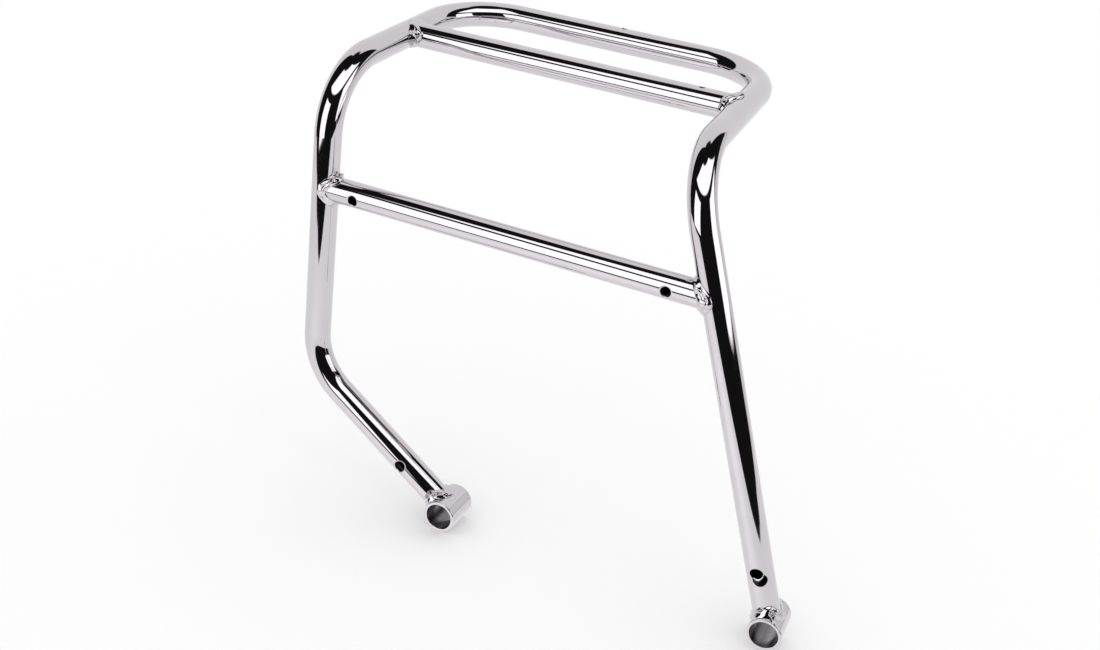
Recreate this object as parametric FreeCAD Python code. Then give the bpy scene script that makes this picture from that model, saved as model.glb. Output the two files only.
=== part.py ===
import FreeCAD, Part
import math
import os

from FreeCAD import Vector

# Saddlebag bracket welded from round tube. Millimetres, +X right, +Y rear, +Z up.
# The origin is the centre of the left foot's bore.

# Tube stock
hoop_od = 22.2
bar_od = 21.3
tube_wall = 2.0
bend_radius = 60.0

# Shelf, between centre lines
shelf_width = 300.0
shelf_depth = 218.0
shelf_rise = 26.5
shelf_bar_setback = 118.0

# Legs, between the corners where centre lines cross
left_toe_reach = 141.0
left_knee_height = 95.5
left_leg_length = 260.0
right_leg_lean = 129.0
right_foot_rise = 4.5
leg_bar_drop = 96.5

# Feet
boss_od = 28.6
boss_wall = 2.8
boss_length = 34.0
boss_edge = 0.7

# Bag bolt holes, drilled through both walls from the front
bar_hole_d = 8.0
bar_hole_inset = 32.0
bar_hole_low = 1.8
leg_hole_d = 9.4
left_leg_hole_up = 54.5
right_leg_hole_up = 49.5
rim_round = 1.3

# Plating vents, drilled through the top wall only
vent_d = 5.0
rail_vent_offset = 9.0
shelf_bar_vent_inset = 34.5

# Weld beads: width on each tube, share of the height lost where the tubes run level,
# and depth of the hidden root in the tube walls
bead_size = 3.8
bead_sink = 0.5
bead_root = 1.5
bead_points = 24

hoop_r = hoop_od / 2
bar_r = bar_od / 2
boss_r = boss_od / 2
boss_bore_r = boss_r - boss_wall

left_foot = Vector(0, 0, 0)
left_knee = Vector(-left_toe_reach, 0, left_knee_height)
left_shoulder = left_knee + Vector(0, 0, left_leg_length)
rear_left = left_shoulder + Vector(0, shelf_depth, shelf_rise)
rear_right = rear_left + Vector(shelf_width, 0, 0)
right_shoulder = left_shoulder + Vector(shelf_width, 0, 0)
right_foot = Vector(right_shoulder.x + right_leg_lean, 0, right_foot_rise)
hoop_corners = [left_foot, left_knee, left_shoulder, rear_left, rear_right, right_shoulder, right_foot]

rearward = Vector(0, 1, 0)
upward = Vector(0, 0, 1)


def unit(start, end):
    return (end - start).normalize()


def along(start, end, share):
    return start + (end - start) * share


def disc(centre, normal, radius):
    return Part.Face(Part.Wire(Part.makeCircle(radius, centre, normal)))


def rod(start, end, radius):
    return disc(start, end - start, radius).extrude(end - start)


def bent_rod(corners, bend, radius):
    # Straight runs joined by equal bends, each bend a slice of a ring.
    pieces = []
    start = corners[0]
    for before, corner, after in zip(corners, corners[1:], corners[2:]):
        arriving = unit(before, corner)
        leaving = unit(corner, after)
        turn = arriving.getAngle(leaving)
        setback = bend * math.tan(turn / 2)
        arc_start = corner - arriving * setback
        axis = arriving.cross(leaving).normalize()
        centre = arc_start + axis.cross(arriving) * bend
        pieces.append(rod(start, arc_start, radius))
        pieces.append(disc(arc_start, arriving, radius).revolve(centre, axis, math.degrees(turn)))
        start = corner + leaving * setback
    pieces.append(rod(start, corners[-1], radius))
    return pieces[0].multiFuse(pieces[1:]).removeSplitter()


def drill(solid, holes, diameter, radius):
    # Drills right through from front to rear and rounds the polished rims on both sides.
    for hole in holes:
        half = rearward * hoop_od
        solid = solid.cut(rod(hole - half, hole + half, diameter / 2))
    mouths = [hole + rearward * (side * radius) for hole in holes for side in (-1, 1)]
    rims = []
    for edge in solid.Edges:
        if any((edge.BoundBox.Center - mouth).Length < diameter / 2 for mouth in mouths):
            rims.append(edge)
    return solid.makeFillet(rim_round, rims)


def saddle(start, toward, radius, axis_start, axis_dir, axis_radius):
    # Points where a rod's generator lines first meet a round tube,
    # with the outward normals of the rod and of the tube at each point.
    side = toward.cross(axis_dir).normalize()
    other = toward.cross(side).normalize()
    found = []
    for step in range(bead_points):
        angle = 2 * math.pi * step / bead_points
        rod_normal = side * math.cos(angle) + other * math.sin(angle)
        point = start + rod_normal * radius
        offset = point - axis_start
        offset = offset - axis_dir * offset.dot(axis_dir)
        travel = toward - axis_dir * toward.dot(axis_dir)
        half_b = offset.dot(travel)
        square = travel.dot(travel)
        root = math.sqrt(half_b ** 2 - square * (offset.dot(offset) - axis_radius ** 2))
        reach = (-half_b - root) / square
        tube_normal = (offset + travel * reach).normalize()
        found.append((point + toward * reach, rod_normal, tube_normal))
    return found


def ring(points):
    curve = Part.BSplineCurve()
    curve.interpolate(points, PeriodicFlag=True)
    return Part.Wire(curve.toShape())


def bead(joint, toward, rods):
    # A convex ring of weld metal along the seam: a toe on each tube and a crown between them.
    # The crown is lower where the two surfaces run level, so the bead lies flat there.
    toes_on_rod = []
    crowns = []
    toes_on_tube = []
    roots = []
    for point, rod_normal, tube_normal in joint:
        level = rod_normal.dot(tube_normal)
        over_tube = (rod_normal - tube_normal * level).normalize()
        outward = (rod_normal + tube_normal).normalize()
        crown_height = bead_size * (1 - bead_sink * max(0.0, level))
        toes_on_rod.append(point - toward * bead_size - rod_normal * bead_root)
        crowns.append(point + outward * crown_height)
        toes_on_tube.append(point + over_tube * bead_size - tube_normal * bead_root)
        roots.append(point - outward * bead_root)
    rings = [ring(points) for points in (toes_on_rod, crowns, toes_on_tube, roots)]
    shell = Part.makeLoft(rings, False, True, True)
    return Part.Solid(Part.Shell(shell.Faces)).cut(rods)


def vent(centre):
    return rod(centre, centre + upward * hoop_od, vent_d / 2)


def boss(centre):
    half = rearward * (boss_length / 2)
    solid = rod(centre - half, centre + half, boss_r)
    solid = solid.makeChamfer(boss_edge, [edge for edge in solid.Edges if len(edge.Vertexes) == 1])
    return solid.cut(rod(centre - half, centre + half, boss_bore_r))


hoop_rod = bent_rod(hoop_corners, bend_radius, hoop_r)
hoop_bore = bent_rod(hoop_corners, bend_radius, hoop_r - tube_wall)

# Feet: the legs end in saddle cuts that sit on the bosses
boss_rods = {}
for foot in (left_foot, right_foot):
    boss_rods[foot.x] = rod(foot - rearward * boss_length, foot + rearward * boss_length, boss_r)

leg_holes = [
    left_foot + unit(left_foot, left_knee) * left_leg_hole_up,
    right_foot + unit(right_foot, right_shoulder) * right_leg_hole_up,
]
rail_vent = along(rear_left, rear_right, 0.5) + Vector(rail_vent_offset, 0, 0)

hoop_tube = drill(hoop_rod, leg_holes, leg_hole_d, hoop_r).cut(hoop_bore)
for boss_rod in boss_rods.values():
    hoop_tube = hoop_tube.cut(boss_rod)
hoop_tube = hoop_tube.cut(vent(rail_vent))

# Crossbars: cut to sit on the hoop
leg_bar_z = left_shoulder.z - leg_bar_drop
leg_bar_start = Vector(left_shoulder.x, 0, leg_bar_z)
leg_bar_end = along(right_shoulder, right_foot, leg_bar_drop / (right_shoulder.z - right_foot.z))
shelf_bar_share = shelf_bar_setback / shelf_depth
shelf_bar_start = along(left_shoulder, rear_left, shelf_bar_share)
shelf_bar_end = along(right_shoulder, rear_right, shelf_bar_share)

bar_hole_z = leg_bar_z - bar_hole_low
bar_holes = [Vector(left_shoulder.x + bar_hole_inset, 0, bar_hole_z), Vector(right_shoulder.x, 0, bar_hole_z)]

leg_bar_rod = rod(leg_bar_start, leg_bar_end, bar_r)
leg_crossbar = drill(leg_bar_rod, bar_holes, bar_hole_d, bar_r)
leg_crossbar = leg_crossbar.cut(rod(leg_bar_start, leg_bar_end, bar_r - tube_wall)).cut(hoop_rod)

shelf_bar_rod = rod(shelf_bar_start, shelf_bar_end, bar_r)
shelf_crossbar = shelf_bar_rod.cut(rod(shelf_bar_start, shelf_bar_end, bar_r - tube_wall)).cut(hoop_rod)
shelf_crossbar = shelf_crossbar.cut(vent(shelf_bar_end - Vector(shelf_bar_vent_inset, 0, 0)))


# Weld beads, one around each joint
def bar_bead(bar_start, bar_end, bar_rod, side_start, side_end):
    toward = unit(bar_start, bar_end)
    middle = along(bar_start, bar_end, 0.5)
    joint = saddle(middle, toward, bar_r, side_start, unit(side_start, side_end), hoop_r)
    return bead(joint, toward, [bar_rod, rod(side_start, side_end, hoop_r)])


def foot_bead(foot, corner):
    toward = unit(corner, foot)
    joint = saddle(along(corner, foot, 0.5), toward, hoop_r, foot, rearward, boss_r)
    return bead(joint, toward, [rod(corner, foot, hoop_r), boss_rods[foot.x]])


nodes = {
    "hoop_tube": hoop_tube,
    "leg_crossbar": leg_crossbar,
    "shelf_crossbar": shelf_crossbar,
    "left_foot_boss": boss(left_foot),
    "right_foot_boss": boss(right_foot),
    "leg_bar_weld_left": bar_bead(leg_bar_end, leg_bar_start, leg_bar_rod, left_knee, left_shoulder),
    "leg_bar_weld_right": bar_bead(leg_bar_start, leg_bar_end, leg_bar_rod, right_foot, right_shoulder),
    "shelf_weld_left": bar_bead(shelf_bar_end, shelf_bar_start, shelf_bar_rod, left_shoulder, rear_left),
    "shelf_weld_right": bar_bead(shelf_bar_start, shelf_bar_end, shelf_bar_rod, right_shoulder, rear_right),
    "left_foot_weld": foot_bead(left_foot, left_knee),
    "right_foot_weld": foot_bead(right_foot, right_shoulder),
}

os.makedirs("parts", exist_ok=True)
for name, shape in nodes.items():
    solid = shape.Solids[0]
    solid.exportStep("parts/" + name + ".step")
    print(name, len(shape.Solids), solid.isValid(), round(solid.Volume, 1))
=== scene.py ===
import logging
from collections.abc import Sequence
from dataclasses import dataclass
from enum import Enum

import bpy
import numpy as np
from mathutils import Matrix, Vector


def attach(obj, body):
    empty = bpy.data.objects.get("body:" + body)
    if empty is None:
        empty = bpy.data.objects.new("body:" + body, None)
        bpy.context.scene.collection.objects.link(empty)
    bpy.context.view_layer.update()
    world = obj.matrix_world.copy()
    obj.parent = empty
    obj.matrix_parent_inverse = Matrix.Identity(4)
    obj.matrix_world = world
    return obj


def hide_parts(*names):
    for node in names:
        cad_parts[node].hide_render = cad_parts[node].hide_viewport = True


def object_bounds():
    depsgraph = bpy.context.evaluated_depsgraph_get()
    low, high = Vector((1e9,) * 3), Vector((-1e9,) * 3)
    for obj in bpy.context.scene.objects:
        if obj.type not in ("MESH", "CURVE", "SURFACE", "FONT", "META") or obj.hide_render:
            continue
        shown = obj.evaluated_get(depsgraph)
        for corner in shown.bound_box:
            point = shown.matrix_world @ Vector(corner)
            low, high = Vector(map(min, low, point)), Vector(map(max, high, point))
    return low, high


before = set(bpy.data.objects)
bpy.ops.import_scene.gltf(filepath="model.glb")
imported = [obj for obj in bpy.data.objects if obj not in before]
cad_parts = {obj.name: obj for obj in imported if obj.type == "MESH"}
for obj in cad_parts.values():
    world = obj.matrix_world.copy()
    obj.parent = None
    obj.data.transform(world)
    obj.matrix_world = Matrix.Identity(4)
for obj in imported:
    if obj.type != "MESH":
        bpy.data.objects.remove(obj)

# Saddlebag bracket welded from chrome-plated tube, on a pale studio floor.
# Metres in the frame of the solids: +X right, +Y rear, +Z up, origin in the left foot's bore.

LOG = logging.getLogger("bracket")
CAD_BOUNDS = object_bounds()
BODY = "root"
FRONT = np.array([0.0, -1.0, 0.0])
UP = np.array([0.0, 0.0, 1.0])
RIGHT = np.array([1.0, 0.0, 0.0])
FULL_TURN = 2 * np.pi
# Rows of a tube's grid that lie closer than this are the same row.
SAME_ROW = 1e-7


class Slot(Enum):
    """Material slots that the record names."""

    TUBE = "plated_tube"
    WELD = "plated_weld"


class Way(Enum):
    """Directions in the plane of a drilled hole, by their place in a pair of sizes."""

    ALONG = 0
    ACROSS = 1


def unit(vectors: np.ndarray) -> np.ndarray:
    """Returns vectors scaled to length one along the last axis."""
    return vectors / np.linalg.norm(vectors, axis=-1, keepdims=True)


def turned(vectors: np.ndarray, axis: np.ndarray, angle: np.ndarray) -> np.ndarray:
    """Returns vectors v turned about an axis: v cos a + (axis x v) sin a + axis (axis . v) (1 - cos a)."""
    kept = np.sum(axis * vectors, axis=-1, keepdims=True) * axis
    return vectors * np.cos(angle) + np.cross(axis, vectors) * np.sin(angle) + kept * (1 - np.cos(angle))


def round_angles(count: int) -> np.ndarray:
    """Returns even angles round a full turn."""
    return FULL_TURN * np.arange(count) / count


def within_half_turn(angle: np.ndarray) -> np.ndarray:
    """Returns the same angles between minus and plus half a turn."""
    return (angle + np.pi) % FULL_TURN - np.pi


def sight_line(bearing: np.ndarray, height: np.ndarray) -> np.ndarray:
    """Returns unit directions for bearings, from the front toward the right, and heights in radians."""
    level = np.cos(height)
    return np.stack([level * np.sin(bearing), -level * np.cos(bearing), np.sin(height)], axis=-1)


def linear_colour(hex_colour: str) -> tuple[float, float, float, float]:
    """Returns the linear colour, with an alpha of one, of six sRGB hex digits after a hash sign."""
    coded = np.array([int(hex_colour[start:start + 2], 16) for start in (1, 3, 5)]) / 255
    return (*np.where(coded <= 0.04045, coded / 12.92, ((coded + 0.055) / 1.055) ** 2.4).tolist(), 1.0)


def add_node(tree: bpy.types.NodeTree, kind: str, links: dict | None = None, inputs: dict | None = None,
             **settings: object) -> bpy.types.Node:
    """Adds one shader node with its settings, values and links.

    Args:
        tree: Node tree that takes the node.
        kind: Blender's name of the node type.
        links: Output sockets by the name or number of the input that each one feeds.
        inputs: Plain values by the name of the input.
        settings: Properties of the node itself.

    Returns:
        The new node.
    """
    node = tree.nodes.new(kind)
    for name, value in settings.items():
        setattr(node, name, value)
    for name, value in (inputs or {}).items():
        node.inputs[name].default_value = value
    for name, socket in (links or {}).items():
        tree.links.new(socket, node.inputs[name])
    return node


def new_tree(name: str) -> tuple[bpy.types.Material, bpy.types.NodeTree]:
    """Makes an empty material.

    Args:
        name: What the material is called.

    Returns:
        The material and its node tree, which holds Blender's usual shader and output.
    """
    material = bpy.data.materials.new(name)
    material.use_nodes = True
    return material, material.node_tree


def make_object(name: str, points: np.ndarray, faces: np.ndarray, normals: np.ndarray | None = None,
                marks: dict[str, np.ndarray] | None = None) -> bpy.types.Object:
    """Puts a grid of points into a smooth-shaded mesh object at the origin.

    Args:
        name: Name of the object and its mesh.
        points: Vertices, with their places along the last axis of the array.
        faces: Vertex numbers of each quad.
        normals: Exact normals of the surface at the vertices, where they are known.
        marks: Values at the vertices for the material, by name.

    Returns:
        The linked object.
    """
    mesh = bpy.data.meshes.new(name)
    mesh.from_pydata(points.reshape(-1, 3).tolist(), [], faces.tolist())
    mesh.polygons.foreach_set("use_smooth", np.ones(len(faces), bool))
    if normals is not None:
        mesh.normals_split_custom_set_from_vertices(normals.reshape(-1, 3).tolist())
    for mark, values in (marks or {}).items():
        layer = mesh.attributes.new(mark, "FLOAT", "POINT")
        layer.data.foreach_set("value", values.reshape(-1).astype(np.float32))
    mesh.update()
    obj = bpy.data.objects.new(name, mesh)
    bpy.context.scene.collection.objects.link(obj)
    return obj


def numbered(points: np.ndarray, first: int = 0) -> np.ndarray:
    """Returns vertex numbers for a grid of points, rows by columns, counted on from the first one."""
    return first + np.arange(points[..., 0].size).reshape(points.shape[:2])


def grid_quads(index: np.ndarray, close_columns: bool = False, close_rows: bool = False) -> np.ndarray:
    """Joins the neighbours of a numbered grid into quads.

    Args:
        index: Vertex numbers, rows by columns.
        close_columns: Whether the last column joins the first one again.
        close_rows: Whether the last row joins the first one again.

    Returns:
        Four vertex numbers a quad. Quads face out where columns run counterclockwise about the rows' way.
    """
    if close_columns:
        index = np.concatenate([index, index[:, :1]], axis=1)
    if close_rows:
        index = np.concatenate([index, index[:1]], axis=0)
    quads = np.stack([index[:-1, :-1], index[:-1, 1:], index[1:, 1:], index[1:, :-1]], axis=-1)
    return quads.reshape(-1, 4)


def ring_quads(index: np.ndarray, close_rows: bool = False) -> np.ndarray:
    """Returns the quads of a grid whose rows are closed rings."""
    return grid_quads(index, close_columns=True, close_rows=close_rows)


@dataclass(frozen=True)
class PlatedFinish:
    """Bright chrome plate over polished steel.

    It mirrors the studio with a faint lilac grey. A soft cloud of buffing haze blurs the mirror a
    little more in some places than in others. Inside the tubes and holes, where the inside mark is one,
    the colour turns to a very dark dull steel: partly bare steel that the plate does not reach, partly
    painted shade that darkens the bores and holes.
    """

    name: str
    clear_hex: str
    haze_hex: str
    clear_roughness: float
    haze_roughness: float
    haze_size: float
    haze_detail: float = 3.0
    haze_grain: float = 0.5
    # Very dark steel inside the tubes and holes: bare steel, darkened further as painted shade.
    bare_shade_hex: str = "#2A2829"
    bare_roughness: float = 0.22

    def build(self) -> bpy.types.Material:
        """Makes the material.

        Returns:
            A metal whose colour and roughness drift between the clear and the hazy plate.
        """
        material, tree = new_tree(self.name)
        shader = tree.nodes["Principled BSDF"]
        shader.inputs["Metallic"].default_value = 1.0
        place = add_node(tree, "ShaderNodeTexCoord")
        cloud = {"Scale": 1 / self.haze_size, "Detail": self.haze_detail, "Roughness": self.haze_grain}
        haze = add_node(tree, "ShaderNodeTexNoise", {"Vector": place.outputs["Object"]}, cloud)
        tones = {"A": linear_colour(self.clear_hex), "B": linear_colour(self.haze_hex)}
        plate = add_node(tree, "ShaderNodeMix", {"Factor": haze.outputs["Fac"]}, tones, data_type="RGBA")
        blur = add_node(tree, "ShaderNodeMapRange", {"Value": haze.outputs["Fac"]},
                        {"To Min": self.clear_roughness, "To Max": self.haze_roughness})
        # The inside mark blends in the dark steel: painted shade in the bores and holes, over bare steel.
        bare_and_shade = add_node(tree, "ShaderNodeAttribute", attribute_name="bare_and_shade")
        skin = add_node(tree, "ShaderNodeMix", {"Factor": bare_and_shade.outputs["Fac"], "A": plate.outputs["Result"]},
                        {"B": linear_colour(self.bare_shade_hex)}, data_type="RGBA")
        dull = add_node(tree, "ShaderNodeMix", {"Factor": bare_and_shade.outputs["Fac"], "A": blur.outputs["Result"]},
                        {"B": self.bare_roughness})
        tree.links.new(skin.outputs["Result"], shader.inputs["Base Color"])
        tree.links.new(dull.outputs["Result"], shader.inputs["Roughness"])
        return material


# Mirror-polished tube: sharp reflections, clouds of haze about the size of a buffing wheel's contact.
TUBE_PLATE = PlatedFinish("chrome plate on polished tube", "#D0CBCF", "#C9C4C9", 0.02, 0.05, 0.030)
# Plate over an unground weld: the same metal, less even because the bead was not buffed.
WELD_PLATE = PlatedFinish("chrome plate on weld bead", "#D0CBCF", "#C4BFC5", 0.04, 0.10, 0.004)


@dataclass(frozen=True)
class Stations:
    """Places along a centre line, each with the frame that carries the round section."""

    centre: np.ndarray
    tangent: np.ndarray
    normal: np.ndarray
    binormal: np.ndarray


class BentPath:
    """A centre line of straight runs and equal bends, with a section frame that never twists."""

    def __init__(self, corners: Sequence[np.ndarray], bend_radius: float, first_normal: np.ndarray) -> None:
        """Splits the corners into straight runs and arcs.

        Args:
            corners: Points where neighbouring straight runs would cross.
            bend_radius: Radius of every bend.
            first_normal: Direction of section angle zero on the first run.
        """
        runs = []
        place = corners[0]
        normal = first_normal
        for before, corner, after in zip(corners, corners[1:], corners[2:]):
            arriving = unit(corner - before)
            leaving = unit(after - corner)
            axis = unit(np.cross(arriving, leaving))
            turn = np.arccos(arriving @ leaving)
            setback = bend_radius * np.tan(turn / 2)
            arc_start = corner - arriving * setback
            runs.append((place, arriving, normal, np.zeros(3), 0.0, np.linalg.norm(arc_start - place)))
            runs.append((arc_start, arriving, normal, axis, 1 / bend_radius, bend_radius * turn))
            normal = turned(normal, axis, turn)
            place = corner + leaving * setback
        end_run = corners[-1] - place
        runs.append((place, unit(end_run), normal, np.zeros(3), 0.0, np.linalg.norm(end_run)))
        columns = [np.array(column) for column in zip(*runs)]
        self.start, self.tangent, self.normal, self.axis, self.curvature, self.length = columns
        self.breaks = np.concatenate([[0.0], np.cumsum(self.length)])
        self.total = float(self.breaks[-1])

    def at(self, distance: np.ndarray) -> Stations:
        """Frames at distances along the line.

        On an arc of angle a = distance / radius the place moves ahead by radius sin a and aside by
        radius (1 - cos a), and the whole frame turns by a about the bend's axis.

        Args:
            distance: Distances from the line's start.

        Returns:
            The stations at those distances.
        """
        run = np.clip(np.searchsorted(self.breaks, distance, side="right") - 1, 0, len(self.length) - 1)
        gone = (distance - self.breaks[run])[:, None]
        curvature = self.curvature[run][:, None]
        bent = curvature > 0
        radius = 1 / np.where(bent, curvature, 1.0)
        angle = gone * curvature
        tangent, axis = self.tangent[run], self.axis[run]
        ahead = np.where(bent, radius * np.sin(angle), gone)
        aside = np.where(bent, radius * (1 - np.cos(angle)), 0.0)
        centre = self.start[run] + tangent * ahead + np.cross(axis, tangent) * aside
        heading = turned(tangent, axis, angle)
        normal = turned(self.normal[run], axis, angle)
        return Stations(centre, heading, normal, np.cross(heading, normal))

    def at_one(self, distance: float) -> Stations:
        """Returns the frame at one distance along the line."""
        found = self.at(np.array([distance]))
        return Stations(found.centre[0], found.tangent[0], found.normal[0], found.binormal[0])

    def spread(self, straight_step: float, bend_step: float) -> np.ndarray:
        """Distances that cover every run.

        Args:
            straight_step: Longest step on a straight run.
            bend_step: Longest step on a bend.

        Returns:
            Rising distances from the start to the end of the line.
        """
        parts = []
        for first, length, curvature in zip(self.breaks, self.length, self.curvature):
            count = int(np.ceil(length / (bend_step if curvature > 0 else straight_step)))
            parts.append(first + length * np.arange(count) / count)
        return np.concatenate([*parts, [self.total]])

    def distance_of(self, point: np.ndarray) -> float:
        """Finds the place on the straight runs that is nearest to a point.

        Args:
            point: A point near the line.

        Returns:
            That place's distance along the line.
        """
        ahead = np.clip(np.sum((point - self.start) * self.tangent, axis=1), 0, self.length)
        gap = np.linalg.norm(self.start + self.tangent * ahead[:, None] - point, axis=1)
        nearest = int(np.argmin(np.where(self.curvature > 0, np.inf, gap)))
        return float(self.breaks[nearest] + ahead[nearest])


@dataclass(frozen=True)
class Seat:
    """The round tube that another tube's end is cut to sit on."""

    point: np.ndarray
    axis: np.ndarray
    radius: float

    def square_part(self, vectors: np.ndarray) -> np.ndarray:
        """Returns the parts of vectors that are square to the seat's axis."""
        return vectors - (vectors @ self.axis)[..., None] * self.axis

    def reach(self, origins: np.ndarray, direction: np.ndarray) -> np.ndarray:
        """Distance at which lines from inside the seat come out of it.

        The part of origin + t direction square to the axis is as long as the radius where a
        quadratic in t is zero. Its larger root is the way out.

        Args:
            origins: Start of each line, with its place along the last axis of the array.
            direction: Their common direction.

        Returns:
            One distance a line.
        """
        offset = self.square_part(origins - self.point)
        travel = self.square_part(direction)
        cross_term = offset @ travel
        square = travel @ travel
        rest = np.sum(offset * offset, axis=-1) - self.radius ** 2
        return (-cross_term + np.sqrt(cross_term ** 2 - square * rest)) / square


@dataclass(frozen=True)
class Mouth:
    """One drilled opening in a tube's wall.

    It has a point on the drill's axis, the way out, the hole's radius, and the width and depth of its
    rim. The rim's power is 2 where it is round and nears 1 for a flat slope. Where a wider cutter has
    slipped along the tube and across it, the rim also takes in the cutter's circle.
    """

    centre: np.ndarray
    out: np.ndarray
    radius: float
    rim: float
    depth: float
    power: float = 2.0
    cutter: float = 0.0
    slip: tuple[float, float] = (0.0, 0.0)
    blend: int = 4

    def half_size(self, way: Way) -> float:
        """Returns half of the opening's extent along the tube or across it."""
        return max(self.radius + self.rim, self.cutter + abs(self.slip[way.value]))

    def rim_width(self, turn: np.ndarray) -> np.ndarray:
        """Width of the rim round the hole.

        A ray from the hole's centre leaves the cutter's circle at a + root(c squared - s squared + a
        squared), where c is the circle's radius, s its slip and a the slip's part along the ray. The
        width is a soft maximum of the plain rim and of what the circle adds.

        Args:
            turn: Angles round the hole, from the direction along the tube.

        Returns:
            One width an angle.
        """
        ahead = self.slip[0] * np.cos(turn) + self.slip[1] * np.sin(turn)
        square = self.cutter ** 2 - np.sum(np.square(self.slip)) + ahead ** 2
        added = np.clip(ahead + np.sqrt(np.clip(square, 0, None)) - self.radius, 0, None)
        return (self.rim ** self.blend + added ** self.blend) ** (1 / self.blend)


@dataclass(frozen=True)
class DrillPlane:
    """The plane square to a drill, on the tube's centre line.

    It has the directions along the tube, across it and out of it, the drill's lift off the centre line
    across the tube, and the angle round the tube that the drill faces.
    """

    origin: np.ndarray
    along: np.ndarray
    across: np.ndarray
    out: np.ndarray
    lift: float
    facing: float

    def places(self, points: np.ndarray) -> tuple[np.ndarray, np.ndarray]:
        """Returns how far points lie from the drill's axis, along the tube and across it."""
        away = points - self.origin
        return away @ self.along, away @ self.across - self.lift

    def on_wall(self, radius: float, ahead: np.ndarray, aside: np.ndarray) -> tuple[np.ndarray, np.ndarray]:
        """Wall points over places in the plane.

        A point's height over the plane is the root of radius squared less its way across squared.

        Args:
            radius: Radius of the wall.
            ahead: Places along the tube from the drill's axis.
            aside: Places across the tube from the drill's axis.

        Returns:
            The points and the wall's outward normals there.
        """
        side = aside + self.lift
        height = np.sqrt(radius ** 2 - side ** 2)
        normal = (self.across * side[..., None] + self.out * height[..., None]) / radius
        return self.origin + self.along * ahead[..., None] + normal * radius, normal


def dress(obj: bpy.types.Object, material: bpy.types.Material, node: str) -> bpy.types.Object:
    """Gives a finished piece its plate and its place in the frame.

    Args:
        obj: The piece.
        material: Its plate.
        node: The solid that it stands for.

    Returns:
        The piece.
    """
    obj.data.materials.append(material)
    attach(obj, BODY)
    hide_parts(node)
    return obj


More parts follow.
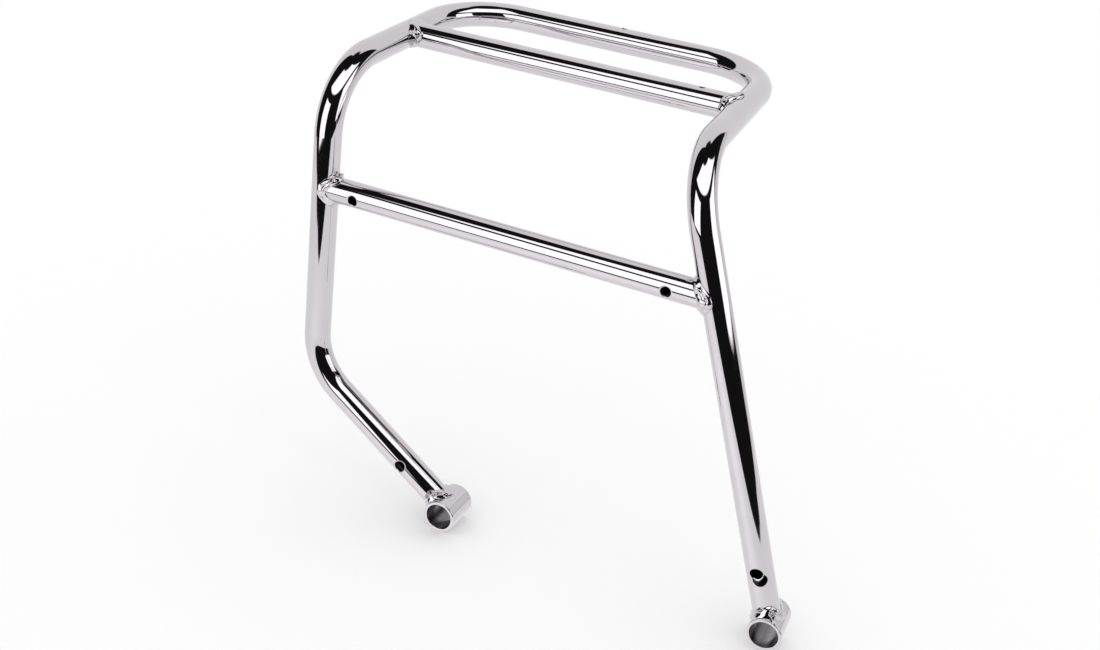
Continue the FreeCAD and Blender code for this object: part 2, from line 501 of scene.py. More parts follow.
@dataclass
class Tube:
    """A hollow tube along a bent path, with ends cut to their seats and drilled mouths."""

    name: str
    node: str
    path: BentPath
    radius: float
    wall: float
    seats: tuple[Seat, Seat]
    mouths: Sequence[Mouth]
    sides: int = 96
    straight_step: float = 0.012
    outer_bend_step: float = 0.001
    inner_bend_step: float = 0.004
    seat_fade: float = 0.009
    seat_rows: int = 5
    mouth_margin: float = 0.0018
    mouth_step: float = 0.0009
    land_rows: int = 6
    rim_rows: int = 8
    lip_rows: int = 3
    bore_rows: int = 3

    def cut_ends(self) -> list[tuple[Seat, float, float]]:
        """Returns each end's seat, its distance along the path and the sign of the way into the tube."""
        return list(zip(self.seats, (0.0, self.path.total), (1.0, -1.0)))

    def mouth_span(self, mouth: Mouth) -> tuple[float, float]:
        """Distances along the path between which the patches of a hole lie.

        Args:
            mouth: One of the hole's mouths.

        Returns:
            The first and the last distance, which suit every mouth of the hole.
        """
        middle = self.path.distance_of(mouth.centre)
        same_hole = [other for other in self.mouths if np.array_equal(other.centre, mouth.centre)]
        half = max(other.half_size(Way.ALONG) for other in same_hole) + self.mouth_margin
        return middle - half, middle + half

    def distances(self, bend_step: float) -> np.ndarray:
        """Distances of the rows of a wall grid.

        Args:
            bend_step: Longest step on a bend.

        Returns:
            Rising distances, with even rows over every mouth and none too near to them.
        """
        reach = []
        for seat, end, sign in self.cut_ends():
            station = self.path.at_one(end)
            reach.append(float(seat.reach(station.centre, sign * station.tangent)))
        first, last = reach[0], self.path.total - reach[1]
        fades = np.linspace(0, self.seat_fade, self.seat_rows)
        rows = self.path.spread(self.straight_step, bend_step)
        rows = rows[(rows > first + self.seat_fade) & (rows < last - self.seat_fade)]
        rows = np.concatenate([first + fades, rows, last - fades])
        patches = []
        for low, high in {self.mouth_span(mouth) for mouth in self.mouths}:
            rows = rows[(rows < low - self.mouth_step) | (rows > high + self.mouth_step)]
            patches.append(np.linspace(low, high, int(np.ceil((high - low) / self.mouth_step)) + 1))
        return np.sort(np.concatenate([rows, *patches]))

    def wall_grid(self, distance: np.ndarray, radius: float) -> tuple[np.ndarray, np.ndarray]:
        """One wall of the tube as a grid of rows along it and columns round it.

        A point is the centre line's place plus radius (cos a normal + sin a binormal). Near an end
        each line slides along the tube so that it stops on the seat.

        Args:
            distance: Distances of the rows.
            radius: Radius of the wall.

        Returns:
            Points and outward normals, rows by columns by three.
        """
        angle = round_angles(self.sides)
        rows = self.path.at(distance)
        spoke = (rows.normal[:, None] * np.cos(angle)[None, :, None]
                 + rows.binormal[:, None] * np.sin(angle)[None, :, None])
        slide = np.zeros((len(distance), self.sides))
        for (seat, end, sign), edge in zip(self.cut_ends(), (0, -1)):
            corner = self.path.at_one(end).centre
            reach = seat.reach(corner + radius * spoke[edge], sign * rows.tangent[edge])
            fade = np.clip(1 - np.abs(distance - distance[edge]) / self.seat_fade, 0, 1)
            slide += sign * fade[:, None] * (reach - abs(distance[edge] - end))[None]
        points = rows.centre[:, None] + radius * spoke + rows.tangent[:, None] * slide[..., None]
        return points, spoke

    def drill_plane(self, mouth: Mouth) -> DrillPlane:
        """Finds the plane that a mouth is drilled square to.

        Args:
            mouth: The opening.

        Returns:
            The plane at the mouth's place along the path.
        """
        station = self.path.at_one(self.path.distance_of(mouth.centre))
        across = np.cross(station.tangent, mouth.out)
        lift = float((mouth.centre - station.centre) @ across)
        facing = float(np.arctan2(mouth.out @ station.binormal, mouth.out @ station.normal))
        return DrillPlane(station.centre, station.tangent, across, mouth.out, lift, facing)

    def mouth_patch(self, mouth: Mouth, outer: np.ndarray,
                    inner: np.ndarray) -> tuple[np.ndarray, np.ndarray, np.ndarray]:
        """The rows that lead from the outer wall over the rounded rim and the bore to the inner wall.

        The first rows draw the patch's square outline in to the rim's outer edge. On the rim the share
        of the width gone and the share of the depth left, each raised to the rim's power, add up to one.
        The bore runs straight, and the last rows spread to the inner outline. The bore takes the dark
        steel, bare steel darkened as painted shade, and so does the wide side of the dish that a slipped
        cutter leaves, as a painted dark crescent, but for its lip.

        Args:
            mouth: The opening.
            outer: Outline of the patch on the outer wall.
            inner: Outline of the patch on the inner wall.

        Returns:
            Points, normals and the share of dark steel (bare steel and painted shade), rows by outline
            points.
        """
        plane = self.drill_plane(mouth)
        outer_ahead, outer_aside = plane.places(outer)
        inner_ahead, inner_aside = plane.places(inner)
        turn = np.arctan2(outer_aside, outer_ahead)
        ahead, aside = np.cos(turn), np.sin(turn)
        spoke = plane.along * ahead[:, None] + plane.across * aside[:, None]
        width = mouth.rim_width(turn)

        edge = mouth.radius + width
        share = (np.arange(1, self.land_rows + 1) / self.land_rows)[:, None]
        land, land_normal = plane.on_wall(self.radius, (1 - share) * outer_ahead + share * edge * ahead,
                                          (1 - share) * outer_aside + share * edge * aside)

        tilt = (np.pi / 2 * np.arange(1, self.rim_rows + 1) / self.rim_rows)[:, None]
        inward = np.sin(tilt) ** (2 / mouth.power)
        risen = np.abs(np.cos(tilt)) ** (2 / mouth.power)
        edge = mouth.radius + width * (1 - inward)
        rim, rim_normal = plane.on_wall(self.radius, edge * ahead, edge * aside)
        rim = rim - mouth.out * (mouth.depth * (1 - risen))[..., None]
        rim_normal = unit(rim_normal * (width * risen ** (mouth.power - 1))[..., None]
                          - spoke * (mouth.depth * inward ** (mouth.power - 1))[..., None])

        inside = self.radius - self.wall
        foot, _ = plane.on_wall(inside, mouth.radius * ahead, mouth.radius * aside)
        share = (np.arange(1, self.bore_rows + 1) / self.bore_rows)[:, None, None]
        bore = rim[-1] * (1 - share) + foot * share

        share = (np.arange(1, self.bore_rows) / self.bore_rows)[:, None]
        back, back_normal = plane.on_wall(inside, (1 - share) * mouth.radius * ahead + share * inner_ahead,
                                          (1 - share) * mouth.radius * aside + share * inner_aside)

        points = np.concatenate([land, rim, bore, back])
        normals = np.concatenate([land_normal, rim_normal, np.broadcast_to(-spoke, bore.shape), -back_normal])
        plated = self.land_rows + self.rim_rows
        # The bore and the inner rows take the dark steel in full, as painted shade over bare steel.
        bare_and_shade = np.zeros(points.shape[:2])
        bare_and_shade[plated:] = 1
        # The wide side of a slipped dish is painted dark too, a painted shade crescent; the lip stays plated.
        bare_and_shade[self.land_rows:plated - self.lip_rows] = np.clip(width / mouth.rim - 1, 0, 1)
        return points, normals, bare_and_shade

    def outline(self, mouth: Mouth, distance: np.ndarray) -> tuple[tuple[np.ndarray, np.ndarray],
                                                                   tuple[slice, np.ndarray]]:
        """Grid places round a mouth's patch.

        Args:
            mouth: The opening.
            distance: Distances of the grid's rows.

        Returns:
            Rows and columns of the outline's points in order, and rows and columns of the quads inside.
        """
        first, last = np.searchsorted(distance, np.array(self.mouth_span(mouth)) - SAME_ROW)
        plane = self.drill_plane(mouth)
        half = mouth.half_size(Way.ACROSS) + self.mouth_margin
        step = FULL_TURN / self.sides
        left = int(np.floor((plane.facing + np.arcsin((plane.lift - half) / self.radius)) / step))
        right = int(np.ceil((plane.facing + np.arcsin((plane.lift + half) / self.radius)) / step))
        wide, long = right - left, last - first
        rows = np.concatenate([np.full(wide, first), np.arange(first, last),
                               np.full(wide, last), np.arange(last, first, -1)])
        columns = np.concatenate([np.arange(left, right), np.full(long, right),
                                  np.arange(right, left, -1), np.full(long, left)])
        return (rows, columns % self.sides), (slice(first, last), np.arange(left, right) % self.sides)

    def build(self, material: bpy.types.Material) -> bpy.types.Object:
        """Makes the tube's mesh and dresses it.

        The two walls are grids that rings of quads close at the ends. Each mouth's patch takes the
        place of the quads inside its outline on both walls.

        Args:
            material: The plate.

        Returns:
            The finished object.
        """
        distance = self.distances(self.outer_bend_step)
        inner_distance = self.distances(self.inner_bend_step)
        outer, spoke = self.wall_grid(distance, self.radius)
        inner, inner_spoke = self.wall_grid(inner_distance, self.radius - self.wall)
        index = numbered(outer)
        inner_index = numbered(inner, index.size)
        points = [outer.reshape(-1, 3), inner.reshape(-1, 3)]
        normals = [spoke.reshape(-1, 3), -inner_spoke.reshape(-1, 3)]
        # The outer wall is plated; the inner wall takes the dark steel in full, bare steel darkened as
        # painted shade.
        bare_and_shade = [np.zeros(index.size), np.ones(inner_index.size)]
        whole = np.ones((len(distance) - 1, self.sides), bool)
        inner_whole = np.ones((len(inner_distance) - 1, self.sides), bool)
        faces = [ring_quads(np.stack([inner_index[0], index[0]])),
                 ring_quads(np.stack([index[-1], inner_index[-1]]))]
        used = index.size + inner_index.size
        for mouth in self.mouths:
            edge, span = self.outline(mouth, distance)
            inner_edge, inner_span = self.outline(mouth, inner_distance)
            whole[span] = False
            inner_whole[inner_span] = False
            patch, patch_normal, patch_bare_and_shade = self.mouth_patch(mouth, outer[edge], inner[inner_edge])
            fresh = numbered(patch, used)
            used += fresh.size
            faces.append(ring_quads(np.vstack([index[edge], fresh, inner_index[inner_edge]])))
            points.append(patch.reshape(-1, 3))
            normals.append(patch_normal.reshape(-1, 3))
            bare_and_shade.append(patch_bare_and_shade.reshape(-1))
        faces.append(ring_quads(index)[whole.reshape(-1)])
        faces.append(ring_quads(inner_index)[inner_whole.reshape(-1)][:, ::-1])
        obj = make_object(self.name, np.concatenate(points), np.concatenate(faces), np.concatenate(normals),
                          {"bare_and_shade": np.concatenate(bare_and_shade)})
        return dress(obj, material, self.node)


@dataclass
class Sleeve:
    """A foot: a short open sleeve across the end of a leg, with rounded edges.

    Its bore is painted dark, as painted shade over bare steel, in lighter and darker bands. Each band is a
    wave with a size, a count round the bore and a shift.
    """

    name: str
    node: str
    centre: np.ndarray
    radius: float
    wall: float
    length: float
    outer_edge: float = 0.0008
    inner_edge: float = 0.0005
    sides: int = 96
    edge_rows: int = 7
    # Share of dark steel in the bore: bare steel darkened as painted shade.
    bore_bare_and_shade: float = 0.78
    shade_bands: tuple[tuple[float, int, float], ...] = ((0.14, 3, 0.6), (0.08, 8, 0.0))
    plate_creep: float = 0.2

    def section(self) -> tuple[np.ndarray, np.ndarray]:
        """The wall's section.

        It is a rectangle with quarter-round corners. Each corner is its centre plus its radius times
        the normal (cos a outward + sin a rearward), and the flats between them follow.

        Returns:
            Places from the bore's axis and along it, and the normals there.
        """
        half = self.length / 2
        inside = self.radius - self.wall
        corners = [(self.radius, half, self.outer_edge), (inside, half, self.inner_edge),
                   (inside, -half, self.inner_edge), (self.radius, -half, self.outer_edge)]
        sweep = np.linspace(0, np.pi / 2, self.edge_rows)
        section, slope = [], []
        for quarter, (radial, axial, edge) in enumerate(corners):
            angle = quarter * np.pi / 2 + sweep
            normal = np.stack([np.cos(angle), np.sin(angle)], axis=1)
            middle = np.array([radial, axial]) - edge * np.sign(normal[self.edge_rows // 2])
            section.append(middle + edge * normal)
            slope.append(normal)
        return np.concatenate(section), np.concatenate(slope)

    def build(self, material: bpy.types.Material) -> bpy.types.Object:
        """Turns the wall's section round the bore's axis.

        A point is the foot's centre, plus the section's place from the axis along the spoke cos a up +
        sin a right, plus its place along the axis. The bore's share of dark steel, bare steel darkened as
        painted shade, is a sum of waves round it that paints lighter and darker bands, and the plate
        creeps in over the edges.

        Args:
            material: The plate.

        Returns:
            The finished object.
        """
        section, slope = self.section()
        angle = round_angles(self.sides)
        spoke = np.cos(angle)[:, None] * UP + np.sin(angle)[:, None] * RIGHT
        points = self.centre + spoke[:, None] * section[None, :, :1] - FRONT * section[None, :, 1:]
        normals = spoke[:, None] * slope[None, :, :1] - FRONT * slope[None, :, 1:]
        faces = ring_quads(numbered(points), close_rows=True)[:, ::-1]
        # Painted shade in the bore, in lighter and darker bands round it, fading out over the edges.
        waves = sum(size * np.cos(count * angle + shift) for size, count, shift in self.shade_bands)
        bare_and_shade = (self.bore_bare_and_shade + waves)[:, None] * np.clip(1 - (1 + slope[:, 0]) / self.plate_creep, 0, 1)
        obj = make_object(self.name, points, faces, normals, {"bare_and_shade": bare_and_shade})
        return dress(obj, material, self.node)


@dataclass(frozen=True)
class Drops:
    """Drops of weld on a bead: their usual radius and height, and the seed that scatters them.

    Each drop's radius and height are shares of the usual ones. The drops spread round the seam by a
    multiple of the heavy side's spread, and across the bead from the tube to the last share of it.
    """

    radius: float
    height: float
    seed: int
    count: int = 9
    radius_shares: tuple[float, float] = (0.55, 1.2)
    height_shares: tuple[float, float] = (0.35, 1.0)
    spreads: float = 1.5
    last_across: float = 0.75


@dataclass
class WeldBead:
    """A hand-laid bead along the seam between a tube's end and its seat.

    Most of its metal lies toward the heavy side, where drops of weld stand up as lumps. Elsewhere it
    is a smooth hollow fillet.
    """

    node: str
    seat: Seat
    origin: np.ndarray
    direction: np.ndarray
    radius: float
    heavy: np.ndarray
    size: float
    drops: Drops
    sink: float = 0.5
    hollow: float = 0.22
    gain: float = 0.9
    spread: float = 0.55
    overlap: float = 0.22
    root: float = 0.0012
    columns: int = 240
    rows: int = 34

    def seam(self, angle: np.ndarray) -> tuple[np.ndarray, np.ndarray, np.ndarray]:
        """The line where the tube's surface meets the seat's.

        Args:
            angle: Angles round the tube's end.

        Returns:
            Points of the seam, and the outward normals of the tube and of the seat there.
        """
        side = unit(np.cross(self.direction, self.seat.axis))
        other = np.cross(self.direction, side)
        tube_normal = side * np.cos(angle)[:, None] + other * np.sin(angle)[:, None]
        start = self.origin + self.radius * tube_normal
        points = start + self.direction * self.seat.reach(start, self.direction)[:, None]
        return points, tube_normal, unit(self.seat.square_part(points - self.seat.point))

    def drop_height(self, turn: np.ndarray, share: np.ndarray, width: np.ndarray) -> np.ndarray:
        """Height of the drops of weld above the fillet.

        A drop is a cap whose height falls with the square of the distance from its middle and ends at
        its radius. The highest cap counts, so that sharp creases run between the drops.

        Args:
            turn: Angles round the seam from the heavy side, one a column.
            share: Way across the bead, from 0 on the tube to 1 on the seat, one a row.
            width: Width of the bead, one a column.

        Returns:
            Heights, rows by columns.
        """
        drops = self.drops
        dice = np.random.default_rng(drops.seed)
        place = drops.spreads * self.spread * dice.uniform(-1, 1, drops.count)
        across = dice.uniform(0.0, drops.last_across, drops.count)
        radius = drops.radius * dice.uniform(*drops.radius_shares, drops.count)
        height = drops.height * dice.uniform(*drops.height_shares, drops.count)
        off = within_half_turn(turn[None, :, None] - place)
        away = (self.radius * off) ** 2 + (width[None, :, None] * (share[:, None, None] - across)) ** 2
        caps = height * np.clip(1 - away / radius ** 2, 0, None)
        return caps.max(axis=-1)

    def build(self, material: bpy.types.Material) -> bpy.types.Object:
        """Carries the bead's section round the seam.

        The section swings from the direction along the tube to the direction over the seat, at the
        bead's size from the seam. It is hollow in the middle, lower where the two surfaces run level,
        longer along the tube on the heavy side, carries the drops there, and dips under both surfaces
        at its toes. A root inside the metal closes it.

        Args:
            material: The plate.

        Returns:
            The finished object.
        """
        angle = round_angles(self.columns)
        share = np.linspace(-self.overlap, 1 + self.overlap, self.rows)
        way = np.clip(share, 0, 1)[:, None]
        seam, tube_normal, seat_normal = self.seam(angle)
        cosine = np.sum(tube_normal * seat_normal, axis=1)
        level = self.sink * np.clip(cosine, 0, 1)
        over_seat = unit(tube_normal - seat_normal * cosine[:, None])
        opening = np.arccos(np.clip(over_seat @ self.direction, -1, 1))
        swing = share[:, None] * opening
        heading = ((np.sin(opening - swing) / np.sin(opening))[..., None] * self.direction
                   + (np.sin(swing) / np.sin(opening))[..., None] * over_seat)

        turn = within_half_turn(angle - angle[np.argmax(tube_normal @ self.heavy)])
        size = self.size * (1 + self.gain * np.exp(-(turn / self.spread) ** 2) * (1 - way))
        crown = np.sin(np.pi * way)
        reach = size * (1 - level * crown) * (1 - self.hollow * crown)
        outward = unit(tube_normal * (1 - way[..., None]) + seat_normal * way[..., None])
        lumps = self.drop_height(turn, share, size[0] + self.size) * (1 - level)
        skin = seam + heading * reach[..., None] + outward * lumps[..., None]
        root = seam - unit(tube_normal + seat_normal) * self.root

        points = np.concatenate([skin, root[None]])
        faces = ring_quads(numbered(points), close_rows=True)
        middle = self.rows // 2
        corner, right, above = points[middle, 0], points[middle, 1], points[middle + 1, 0]
        if np.cross(right - corner, above - corner) @ (tube_normal[0] + seat_normal[0]) < 0:
            faces = faces[:, ::-1]
        return dress(make_object("lumpy_" + self.node, points, faces), material, self.node)


@dataclass(frozen=True)
class Layout:
    """Corners of the hoop, ends of the crossbars, directions up the legs, and the seats of tube ends."""

    corners: list[np.ndarray]
    leg_bar: list[np.ndarray]
    shelf_bar: list[np.ndarray]
    toe: np.ndarray
    leg: np.ndarray
    left_sleeve: Seat
    right_sleeve: Seat
    left_leg: Seat
    right_leg: Seat
    left_side: Seat
    right_side: Seat


@dataclass(frozen=True)
class Bracket:
    """Sizes of the whole bracket and the pieces that they give."""

    hoop_radius: float = 0.0111
    bar_radius: float = 0.01065
    wall: float = 0.002
    bend_radius: float = 0.060
    shelf_width: float = 0.300
    shelf_depth: float = 0.218
    shelf_rise: float = 0.0265
    shelf_bar_setback: float = 0.118
    left_toe_reach: float = 0.141
    left_knee_height: float = 0.0955
    left_leg_length: float = 0.260
    right_leg_lean: float = 0.129
    right_foot_rise: float = 0.0045
    leg_bar_drop: float = 0.0965
    sleeve_radius: float = 0.0143
    sleeve_wall: float = 0.0028
    sleeve_length: float = 0.034
    bar_hole_radius: float = 0.004
    bar_hole_inset: float = 0.032
    bar_hole_low: float = 0.0018
    leg_hole_radius: float = 0.0047
    left_leg_hole_up: float = 0.0545
    right_leg_hole_up: float = 0.0495
    hole_rim: float = 0.0013
    dish_rim: float = 0.0007
    dish_depth: float = 0.0019
    dish_power: float = 1.15
    dish_radius: float = 0.0058
    dish_slip: tuple[float, float] = (0.0047, -0.0020)
    vent_radius: float = 0.0025
    vent_rim: float = 0.0004
    rail_vent_offset: float = 0.009
    shelf_bar_vent_inset: float = 0.0345

    def layout(self) -> Layout:
        """Works out the places that the pieces share.

        Returns:
            The bracket's layout.
        """
        left_foot = np.zeros(3)
        left_knee = np.array([-self.left_toe_reach, 0, self.left_knee_height])
        left_shoulder = left_knee + UP * self.left_leg_length
        rear_left = left_shoulder - FRONT * self.shelf_depth + UP * self.shelf_rise
        rear_right = rear_left + RIGHT * self.shelf_width
        right_shoulder = left_shoulder + RIGHT * self.shelf_width
        right_foot = np.array([right_shoulder[0] + self.right_leg_lean, 0, self.right_foot_rise])
        shelf_share = self.shelf_bar_setback / self.shelf_depth
        leg_share = self.leg_bar_drop / (right_shoulder[2] - right_foot[2])
        leg = unit(right_shoulder - right_foot)
        return Layout(
            corners=[left_foot, left_knee, left_shoulder, rear_left, rear_right, right_shoulder, right_foot],
            leg_bar=[left_shoulder - UP * self.leg_bar_drop,
                     right_shoulder + (right_foot - right_shoulder) * leg_share],
            shelf_bar=[left_shoulder + (rear_left - left_shoulder) * shelf_share,
                       right_shoulder + (rear_right - right_shoulder) * shelf_share],
            toe=unit(left_knee - left_foot),
            leg=leg,
            left_sleeve=Seat(left_foot, FRONT, self.sleeve_radius),
            right_sleeve=Seat(right_foot, FRONT, self.sleeve_radius),
            left_leg=Seat(left_knee, UP, self.hoop_radius),
            right_leg=Seat(right_foot, leg, self.hoop_radius),
            left_side=Seat(left_shoulder, unit(rear_left - left_shoulder), self.hoop_radius),
            right_side=Seat(right_shoulder, unit(rear_right - right_shoulder), self.hoop_radius),
        )

    def drilled(self, point: np.ndarray, radius: float) -> list[Mouth]:
        """Returns the front and rear mouths of a bolt hole drilled right through."""
        return [Mouth(point, out, radius, self.hole_rim, self.hole_rim) for out in (FRONT, -FRONT)]

    def vent(self, point: np.ndarray) -> Mouth:
        """Returns the mouth of a small plating vent in a tube's top."""
        return Mouth(point, UP, self.vent_radius, self.vent_rim, self.vent_rim)

    def dished(self, point: np.ndarray) -> list[Mouth]:
        """Returns the mouths of the bolt hole whose front rim a slipped cutter has dished."""
        dish = Mouth(point, FRONT, self.leg_hole_radius, self.dish_rim, self.dish_depth, self.dish_power,
                     self.dish_radius, self.dish_slip)
        return [dish, Mouth(point, -FRONT, self.leg_hole_radius, self.hole_rim, self.hole_rim)]

    def tubes(self, places: Layout) -> list[Tube]:
        """The hoop and the two crossbars.

        Args:
            places: The bracket's layout.

        Returns:
            The tubes with their seats and mouths.
        """
        corners, leg_bar, shelf_bar = places.corners, places.leg_bar, places.shelf_bar
        rail_middle = (corners[3] + corners[4]) / 2
        hoop_mouths = [*self.drilled(corners[0] + places.toe * self.left_leg_hole_up, self.leg_hole_radius),
                       *self.dished(corners[-1] + places.leg * self.right_leg_hole_up),
                       self.vent(rail_middle + RIGHT * self.rail_vent_offset)]
        low = UP * self.bar_hole_low
        bar_mouths = [*self.drilled(leg_bar[0] + RIGHT * self.bar_hole_inset - low, self.bar_hole_radius),
                      *self.drilled(leg_bar[0] + RIGHT * self.shelf_width - low, self.bar_hole_radius)]
        shelf_mouths = [self.vent(shelf_bar[1] - RIGHT * self.shelf_bar_vent_inset)]
        return [
            Tube("bent_hoop", "hoop_tube", BentPath(corners, self.bend_radius, FRONT), self.hoop_radius,
                 self.wall, (places.left_sleeve, places.right_sleeve), hoop_mouths),
            Tube("bag_crossbar", "leg_crossbar", BentPath(leg_bar, self.bend_radius, FRONT), self.bar_radius,
                 self.wall, (places.left_leg, places.right_leg), bar_mouths),
            Tube("shelf_bar", "shelf_crossbar", BentPath(shelf_bar, self.bend_radius, FRONT), self.bar_radius,
                 self.wall, (places.left_side, places.right_side), shelf_mouths),
        ]

    def sleeves(self, places: Layout) -> list[Sleeve]:
        """Returns the left and the right foot."""
        sizes = (self.sleeve_radius, self.sleeve_wall, self.sleeve_length)
        return [Sleeve("left_foot_sleeve", "left_foot_boss", places.corners[0], *sizes),
                Sleeve("right_foot_sleeve", "right_foot_boss", places.corners[-1], *sizes)]

    def beads(self, places: Layout) -> list[WeldBead]:
        """The weld beads round the ends of the crossbars and on the feet.

        Args:
            places: The bracket's layout.

        Returns:
            One bead a joint, each with its heavy side, size and drops.
        """
        bar, hoop = self.bar_radius, self.hoop_radius
        return [
            WeldBead("leg_bar_weld_left", places.left_leg, places.leg_bar[0], RIGHT, bar,
                     heavy=FRONT + 1.6 * UP, size=0.0040, drops=Drops(0.0048, 0.0034, seed=40)),
            WeldBead("leg_bar_weld_right", places.right_leg, places.leg_bar[1], -RIGHT, bar,
                     heavy=FRONT + 0.1 * UP, size=0.0044, drops=Drops(0.0046, 0.0034, seed=41)),
            WeldBead("shelf_weld_left", places.left_side, places.shelf_bar[0], RIGHT, bar,
                     heavy=FRONT + 0.3 * UP, size=0.0040, drops=Drops(0.0054, 0.0034, seed=12)),
            WeldBead("shelf_weld_right", places.right_side, places.shelf_bar[1], -RIGHT, bar,
                     heavy=FRONT + UP, size=0.0040, drops=Drops(0.0054, 0.0034, seed=53)),
            WeldBead("left_foot_weld", places.left_sleeve, places.corners[0], places.toe, hoop,
                     heavy=FRONT + 0.6 * UP + 0.2 * RIGHT, size=0.0046, drops=Drops(0.0038, 0.0044, seed=62)),
            WeldBead("right_foot_weld", places.right_sleeve, places.corners[-1], places.leg, hoop,
                     heavy=FRONT + 0.8 * RIGHT, size=0.0046, drops=Drops(0.0038, 0.0044, seed=74)),
        ]

    def build(self, tube_plate: bpy.types.Material, weld_plate: bpy.types.Material) -> list[bpy.types.Object]:
        """Builds the hoop, the two crossbars, the feet and the weld beads.

        Args:
            tube_plate: Plate of the tubes and feet.
            weld_plate: Plate of the beads.

        Returns:
            All pieces.
        """
        places = self.layout()
        built = [part.build(tube_plate) for part in (*self.tubes(places), *self.sleeves(places))]
        return built + [bead.build(weld_plate) for bead in self.beads(places)]


def reflected_card(name: str, points: np.ndarray, faces: np.ndarray, glow: np.ndarray,
                   cover: np.ndarray) -> bpy.types.Object:
    """Makes a surface that only the polished metal sees.

    Args:
        name: Name of the surface.
        points: Its vertices, rows by columns by three.
        faces: Vertex numbers of its quads.
        glow: Light of each vertex, where one is white.
        cover: How much of what lies behind it each vertex hides, from 0 to 1.

    Returns:
        The surface.
    """
    card = make_object(name, points, faces, marks={"glow": glow, "cover": cover})
    material, tree = new_tree(name)
    tree.nodes.clear()
    painted = add_node(tree, "ShaderNodeAttribute", attribute_name="glow")
    lit = add_node(tree, "ShaderNodeEmission", {"Strength": painted.outputs["Fac"]})
    hiding = add_node(tree, "ShaderNodeAttribute", attribute_name="cover")
    clear = add_node(tree, "ShaderNodeBsdfTransparent")
    face = add_node(tree, "ShaderNodeMixShader", {0: hiding.outputs["Fac"], 1: clear.outputs["BSDF"],
                                                 2: lit.outputs["Emission"]})
    add_node(tree, "ShaderNodeOutputMaterial", {"Surface": face.outputs["Shader"]})
    material.cycles.emission_sampling = "NONE"
    card.data.materials.append(material)
    for ray in ("camera", "diffuse", "shadow", "transmission", "volume_scatter"):
        setattr(card, "visible_" + ray, False)
    return card


@dataclass(frozen=True)
class Panel:
    """A lit card of the studio, bent round the bracket.

    Its corners are bearings, from the front toward the right, and heights, both in degrees. They run
    lower left, lower right, upper right, upper left. Its soft edges are in degrees too, at the sides
    and at the top and bottom.
    """

    name: str
    corners: tuple[tuple[float, float], ...]
    strength: float
    soft: tuple[float, float]
    rows_a_degree: int = 2

    def build(self, centre: np.ndarray, distance: float) -> bpy.types.Object:
        """Makes the card as a patch of a sphere.

        The bearing and height of a point are a blend of the four corners, weighted by the shares u
        and v of the way across and up. The card thins out toward its edges.

        Args:
            centre: Middle of the studio.
            distance: Radius of the sphere.

        Returns:
            The card.
        """
        corner = np.array(self.corners)
        wide, tall = np.abs(corner[2] - corner[0])
        shares = [np.linspace(0, 1, int(self.rows_a_degree * size) + 2) for size in (wide, tall)]
        u, v = np.meshgrid(*shares)
        weights = np.stack([(1 - u) * (1 - v), u * (1 - v), u * v, (1 - u) * v], axis=-1)
        bearing, height = np.moveaxis(np.radians(weights @ corner), -1, 0)
        points = centre + distance * sight_line(bearing, height)
        across = np.clip(np.minimum(u, 1 - u) * wide / self.soft[0], 0, 1)
        up = np.clip(np.minimum(v, 1 - v) * tall / self.soft[1], 0, 1)
        glow = np.full(u.shape, self.strength)
        return reflected_card(self.name, points, grid_quads(numbered(points)), glow, across * up)


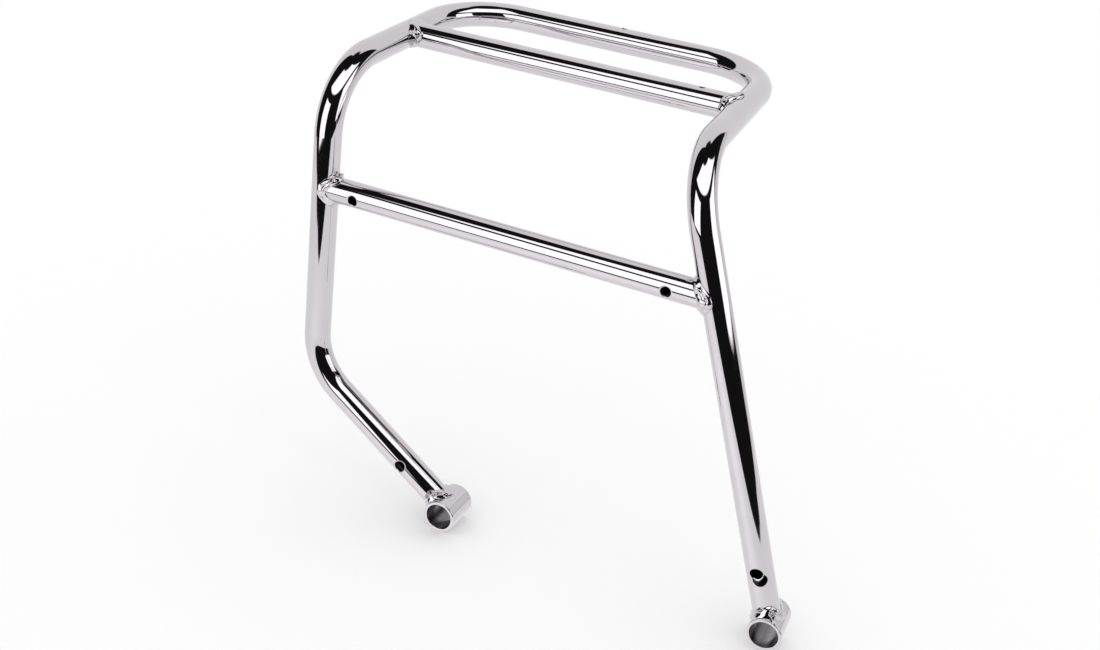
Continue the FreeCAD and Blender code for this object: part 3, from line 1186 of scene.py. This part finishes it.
@dataclass(frozen=True)
class Studio:
    """Pale floor, the table, cards and dark room that the plate mirrors, and the camera."""

    floor_hex: str = "#FFFFFF"
    floor_half: float = 12.0
    centre: tuple[float, float, float] = (0.07, 0.05, 0.20)
    card_distance: float = 1.4
    card_gap: float = 0.01
    room_radius: float = 8.0
    room_columns: int = 72
    room_rows: int = 46
    dark: float = 0.009
    white: float = 1.0
    softbox: float = 1.75
    grey_card: float = 0.85
    sweep: float = 0.95
    table_level: float = -0.27
    table_outline: tuple[tuple[float, float], ...] = (
        (-3.2, 3.2), (-2.6, 1.2), (-1.80, 0.33), (-2.02, -0.56), (-1.27, -1.12), (-0.91, -1.16),
        (-0.46, -1.25), (0.07, -1.09), (0.57, -1.08), (1.27, -1.00), (2.48, -0.65), (3.75, 0.32), (3.2, 3.0))
    table_rows: int = 30
    table_solid: float = 0.95
    pool_place: tuple[float, float] = (-0.10, -0.50)
    pool_size: float = 0.45
    pool_strength: float = 0.28
    camera_place: tuple[float, float, float] = (0.3572, -0.7610, 0.5818)
    camera_forward: tuple[float, float, float] = (-0.308, 0.863, -0.401)
    camera_up: tuple[float, float, float] = (-0.273, 0.324, 0.906)
    focal_pixels: float = 1151.4
    image_width: float = 1100.0
    off_centre: tuple[float, float] = (23.5, -28.7)

    def panels(self) -> list[Panel]:
        """Returns the cards that stand round the bracket."""
        box = self.softbox
        return [
            Panel("left softbox", ((-46, -12), (-7, -12), (2, 31), (-41, 31)), box, (1.0, 0.5)),
            Panel("overhead softbox", ((-50, 40.5), (122, 43), (86, 75), (-26, 74)), box, (4.0, 2.0)),
            Panel("right softbox", ((70, 1), (118, 1.5), (119, 35), (75, 35)), box, (3.0, 1.5)),
            Panel("grey card", ((112, -12), (150, -14), (152, 30), (120, 21)), self.grey_card, (5.0, 5.0)),
            Panel("white sweep", ((146, -25), (289, -25), (251, 76), (149, 76)), self.sweep, (2.0, 4.0)),
        ]

    def build_table(self) -> bpy.types.Object:
        """The white table top below the bracket, with a brighter pool of light on it.

        A point is the pool's place plus a share of the way to the outline. The pool fades as the
        exponential of minus the distance squared, and the table thins out at its edge.

        Returns:
            The table top.
        """
        share = np.concatenate([np.linspace(0.0, self.table_solid, self.table_rows), [1.0]])
        heart = np.array(self.pool_place)
        flat = heart + share[:, None, None] * (np.array(self.table_outline) - heart)
        points = np.concatenate([flat, np.full((*flat.shape[:2], 1), self.table_level)], axis=-1)
        away = np.linalg.norm(flat - heart, axis=-1) / self.pool_size
        glow = self.white * (1 + self.pool_strength * np.exp(-away ** 2))
        cover = np.broadcast_to((share < 1)[:, None], away.shape)
        return reflected_card("white table", points, ring_quads(numbered(points)), glow, cover)

    def build_room(self) -> bpy.types.Object:
        """A far dark dome.

        A point lies at the room's radius in the direction of a bearing and a height.

        Returns:
            The dome.
        """
        bearing, height = np.meshgrid(round_angles(self.room_columns),
                                      np.linspace(-np.pi / 2, np.pi / 2, self.room_rows))
        points = self.room_radius * sight_line(bearing, height)
        glow = np.full(bearing.shape, self.dark)
        return reflected_card("dark room", points, ring_quads(numbered(points)), glow, np.ones(glow.shape))

    def build_floor(self, level: float) -> bpy.types.Object:
        """A wide pale square under the feet.

        Args:
            level: Height of the floor.

        Returns:
            The floor.
        """
        sides = self.floor_half * np.array([(-1, -1), (1, -1), (1, 1), (-1, 1)])
        points = np.column_stack([sides, np.full(len(sides), level)])
        floor = make_object("studio_floor", points, np.array([[0, 1, 2, 3]]))
        material, tree = new_tree("matt white floor")
        shader = tree.nodes["Principled BSDF"]
        shader.inputs["Base Color"].default_value = linear_colour(self.floor_hex)
        shader.inputs["Roughness"].default_value = 1.0
        shader.inputs["Specular IOR Level"].default_value = 0.0
        floor.data.materials.append(material)
        floor.visible_glossy = False
        return floor

    def build_world(self) -> None:
        """Makes the even white light that falls on the floor."""
        world = bpy.data.worlds.new("even white room")
        world.use_nodes = True
        background = world.node_tree.nodes["Background"]
        background.inputs["Color"].default_value = linear_colour(self.floor_hex)
        background.inputs["Strength"].default_value = self.white
        bpy.context.scene.world = world

    def build_camera(self) -> bpy.types.Object:
        """Sets the camera at the photograph's place.

        Returns:
            The camera.
        """
        data = bpy.data.cameras.new("photo_camera")
        data.sensor_fit = "HORIZONTAL"
        data.lens = self.focal_pixels / self.image_width * data.sensor_width
        data.shift_x = -self.off_centre[0] / self.image_width
        data.shift_y = self.off_centre[1] / self.image_width
        camera = bpy.data.objects.new("photo_camera", data)
        forward = Vector(self.camera_forward).normalized()
        right = forward.cross(Vector(self.camera_up)).normalized()
        turn = Matrix((right, right.cross(forward), -forward)).transposed().to_4x4()
        camera.matrix_world = Matrix.Translation(self.camera_place) @ turn
        bpy.context.scene.collection.objects.link(camera)
        bpy.context.scene.camera = camera
        return camera

    def build(self, floor_level: float) -> None:
        """Builds the stage round the bracket.

        Args:
            floor_level: Height of the floor.
        """
        self.build_world()
        centre = np.array(self.centre)
        cards = [panel.build(centre, self.card_distance + self.card_gap * place)
                 for place, panel in enumerate(self.panels())]
        self.build_floor(floor_level)
        self.build_room()
        self.build_table()
        self.build_camera()
        bpy.context.scene.view_settings.view_transform = "Standard"


def main() -> None:
    """Builds the bracket and its studio."""
    logging.basicConfig(level=logging.INFO, format="%(name)s: %(message)s")
    pieces = Bracket().build(TUBE_PLATE.build(), WELD_PLATE.build())
    for piece in pieces:
        LOG.info("%s: %d faces", piece.name, len(piece.data.polygons))
    Studio().build(float(CAD_BOUNDS[0][2]))


if __name__ == "__main__":
    main()
